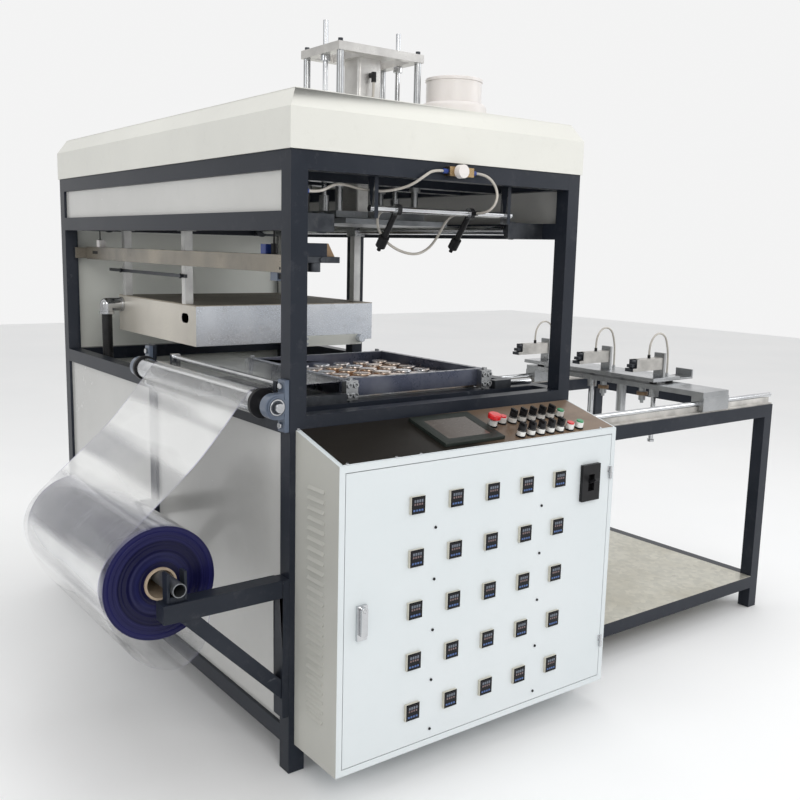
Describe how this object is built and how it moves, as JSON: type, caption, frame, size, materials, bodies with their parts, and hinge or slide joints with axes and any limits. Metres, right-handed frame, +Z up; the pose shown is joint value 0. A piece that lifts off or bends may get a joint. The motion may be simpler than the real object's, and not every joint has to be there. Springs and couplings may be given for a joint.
{
  "type": "vacuum forming machine",
  "caption": "Thermoforming machine: film roll and guide roller feed a forming frame under a sliding heater and a press unit, with a control cabinet in front and a puller table at the side",
  "frame": {"origin": "centre of the machine's outline at floor level", "axes": "+X along the film's travel to the puller table, +Y from the control cabinet to the rear, +Z up"},
  "size_m": [2.7708, 2.1246, 2.15],
  "materials": {
    "frame_paint": "satin",
    "light_panel": "gloss",
    "cream_panel": "satin",
    "cabinet_paint": "satin",
    "control_sheet": "satin",
    "screen_glass": "gloss",
    "black_plastic": "satin",
    "galvanised": "matte",
    "steel": "brushed",
    "chrome": "polished",
    "blue_paint": "satin",
    "film": "gloss",
    "dark_steel": "satin",
    "rail_paint": "satin",
    "aluminium": "brushed",
    "mould_aluminium": "polished",
    "white_plastic": "satin",
    "brass": "polished",
    "rubber": "matte",
    "ceramic": "matte",
    "red_plastic": "gloss",
    "green_plastic": "gloss"
  },
  "bodies": {
    "machine": {"main_frame": "frame_paint", "table_frame": "frame_paint", "frame_panels": "light_panel", "rear_panel": "cream_panel", "top_hood": "cream_panel", "cabinet_shell": "cabinet_paint", "control_panel": "control_sheet", "touch_screen": "screen_glass", "control_bezels": "black_plastic", "table_shelf": "galvanised", "roll_stand": "frame_paint", "roll_shaft": "steel", "pillow_blocks": "blue_paint", "film_web": "film", "film_bar": "steel", "forming_frame": "dark_steel", "forming_bed": "dark_steel", "heater_rails": "steel", "sensor_beam": "rail_paint", "press_stand": "aluminium", "press_cylinder": "aluminium", "water_barrel": "white_plastic", "spray_bar": "steel", "air_manifold": "brass", "vacuum_unit": "dark_steel", "carriage_rails": "steel", "heater_hose": "rubber", "air_tubes": "white_plastic"},
    "door": {"cabinet_door": "cabinet_paint", "door_instruments": "black_plastic"},
    "breaker": {"breaker_toggle": "black_plastic"},
    "lock": {"lock_handle": "chrome"},
    "heater": {"heater_box": "aluminium", "heater_elements": "ceramic", "heater_trolley": "aluminium"},
    "roll": {"film_roll": "film"},
    "roller": {"guide_roller": "steel"},
    "mould": {"mould_table": "aluminium", "mould_plate": "mould_aluminium"},
    "press": {"plug_platen": "steel"},
    "carriage": {"puller_carriage": "aluminium"},
    "gripper": {"gripper_table": "aluminium", "clamp_bodies": "aluminium", "gripper_tubes": "white_plastic"},
    "jaws": {"gripper_jaws": "steel"},
    "stop": {"emergency_stop": "red_plastic"},
    "selector_01_body": {"selector_01": "black_plastic"},
    "selector_02_body": {"selector_02": "black_plastic"},
    "selector_03_body": {"selector_03": "black_plastic"},
    "selector_04_body": {"selector_04": "black_plastic"},
    "selector_05_body": {"selector_05": "black_plastic"},
    "selector_06_body": {"selector_06": "black_plastic"},
    "selector_07_body": {"selector_07": "black_plastic"},
    "selector_08_body": {"selector_08": "black_plastic"},
    "selector_09_body": {"selector_09": "black_plastic"},
    "selector_10_body": {"selector_10": "black_plastic"},
    "green_button_1_body": {"green_button_1": "green_plastic"},
    "red_button_1_body": {"red_button_1": "red_plastic"},
    "green_button_2_body": {"green_button_2": "green_plastic"},
    "red_button_2_body": {"red_button_2": "red_plastic"}
  },
  "joints": [
    {"name": "door_hinge", "type": "hinge", "parent": "machine", "child": "door", "pos_m": [0.13039, -1.03075, 0.5], "axis": [0, 0, 1], "range_deg": [0, 110]},
    {"name": "breaker_toggle_turn", "type": "hinge", "parent": "door", "child": "breaker", "pos_m": [0.03439, -1.02975, 0.765], "axis": [1, 0, 0], "range_deg": [0, 50]},
    {"name": "lock_turn", "type": "hinge", "parent": "door", "child": "lock", "pos_m": [-0.81511, -1.04075, 0.5385], "axis": [0, 1, 0], "range_deg": [-90, 0]},
    {"name": "heater_slide", "type": "slide", "parent": "machine", "child": "heater", "axis": [0, -1, 0], "range_m": [0, 0.78], "deforming": ["heater_hose"]},
    {"name": "film_roll_spin", "type": "hinge", "parent": "machine", "child": "roll", "pos_m": [-1.22211, -0.36475, 0.5883], "axis": [0, 1, 0], "continuous": true},
    {"name": "guide_roller_spin", "type": "hinge", "parent": "machine", "child": "roller", "pos_m": [-0.94111, -0.36475, 1.047], "axis": [0, 1, 0], "continuous": true},
    {"name": "mould_slide", "type": "slide", "parent": "machine", "child": "mould", "axis": [0, 0, 1], "range_m": [-0.1, 0]},
    {"name": "press_slide", "type": "slide", "parent": "machine", "child": "press", "axis": [0, 0, 1], "range_m": [-0.4, 0]},
    {"name": "carriage_slide", "type": "slide", "parent": "machine", "child": "carriage", "axis": [1, 0, 0], "range_m": [-0.6, 0.24]},
    {"name": "gripper_lift", "type": "slide", "parent": "carriage", "child": "gripper", "axis": [0, 0, 1], "range_m": [0, 0.06]},
    {"name": "jaws_turn", "type": "hinge", "parent": "gripper", "child": "jaws", "pos_m": [0.80939, -0.27275, 1.04], "axis": [0, 1, 0], "range_deg": [-4, 45]},
    {"name": "selector_01_turn", "type": "hinge", "parent": "machine", "child": "selector_01_body", "pos_m": [-0.20161, -0.92628, 0.98267], "axis": [0, -0.2585, 0.966], "range_deg": [-45, 45]},
    {"name": "selector_02_turn", "type": "hinge", "parent": "machine", "child": "selector_02_body", "pos_m": [-0.16161, -0.92628, 0.98267], "axis": [0, -0.2585, 0.966], "range_deg": [-45, 45]},
    {"name": "selector_03_turn", "type": "hinge", "parent": "machine", "child": "selector_03_body", "pos_m": [-0.12161, -0.92628, 0.98267], "axis": [0, -0.2585, 0.966], "range_deg": [-45, 45]},
    {"name": "selector_04_turn", "type": "hinge", "parent": "machine", "child": "selector_04_body", "pos_m": [-0.08161, -0.92628, 0.98267], "axis": [0, -0.2585, 0.966], "range_deg": [-45, 45]},
    {"name": "selector_05_turn", "type": "hinge", "parent": "machine", "child": "selector_05_body", "pos_m": [-0.04161, -0.92628, 0.98267], "axis": [0, -0.2585, 0.966], "range_deg": [-45, 45]},
    {"name": "selector_06_turn", "type": "hinge", "parent": "machine", "child": "selector_06_body", "pos_m": [-0.24561, -1.01032, 0.96018], "axis": [0, -0.2585, 0.966], "range_deg": [-45, 45]},
    {"name": "selector_07_turn", "type": "hinge", "parent": "machine", "child": "selector_07_body", "pos_m": [-0.20561, -1.01032, 0.96018], "axis": [0, -0.2585, 0.966], "range_deg": [-45, 45]},
    {"name": "selector_08_turn", "type": "hinge", "parent": "machine", "child": "selector_08_body", "pos_m": [-0.16561, -1.01032, 0.96018], "axis": [0, -0.2585, 0.966], "range_deg": [-45, 45]},
    {"name": "selector_09_turn", "type": "hinge", "parent": "machine", "child": "selector_09_body", "pos_m": [-0.12561, -1.01032, 0.96018], "axis": [0, -0.2585, 0.966], "range_deg": [-45, 45]},
    {"name": "selector_10_turn", "type": "hinge", "parent": "machine", "child": "selector_10_body", "pos_m": [-0.08561, -1.01032, 0.96018], "axis": [0, -0.2585, 0.966], "range_deg": [-45, 45]},
    {"name": "green_button_1_press", "type": "slide", "parent": "machine", "child": "green_button_1_body", "axis": [0, -0.2585, 0.966], "range_m": [-0.004, 0], "stiffness_N_per_m": 300, "springref_m": 0.001},
    {"name": "red_button_1_press", "type": "slide", "parent": "machine", "child": "red_button_1_body", "axis": [0, -0.2585, 0.966], "range_m": [-0.004, 0], "stiffness_N_per_m": 300, "springref_m": 0.001},
    {"name": "green_button_2_press", "type": "slide", "parent": "machine", "child": "green_button_2_body", "axis": [0, -0.2585, 0.966], "range_m": [-0.004, 0], "stiffness_N_per_m": 300, "springref_m": 0.001},
    {"name": "red_button_2_press", "type": "slide", "parent": "machine", "child": "red_button_2_body", "axis": [0, -0.2585, 0.966], "range_m": [-0.004, 0], "stiffness_N_per_m": 300, "springref_m": 0.001},
    {"name": "emergency_stop_press", "type": "slide", "parent": "machine", "child": "stop", "axis": [0, -0.2585, 0.966], "range_m": [-0.005, 0], "stiffness_N_per_m": 500, "springref_m": 0.001}
  ],
  "couplings": [
    {"joint": "guide_roller_spin", "follows": "film_roll_spin", "ratio": 4.3714}
  ]
}
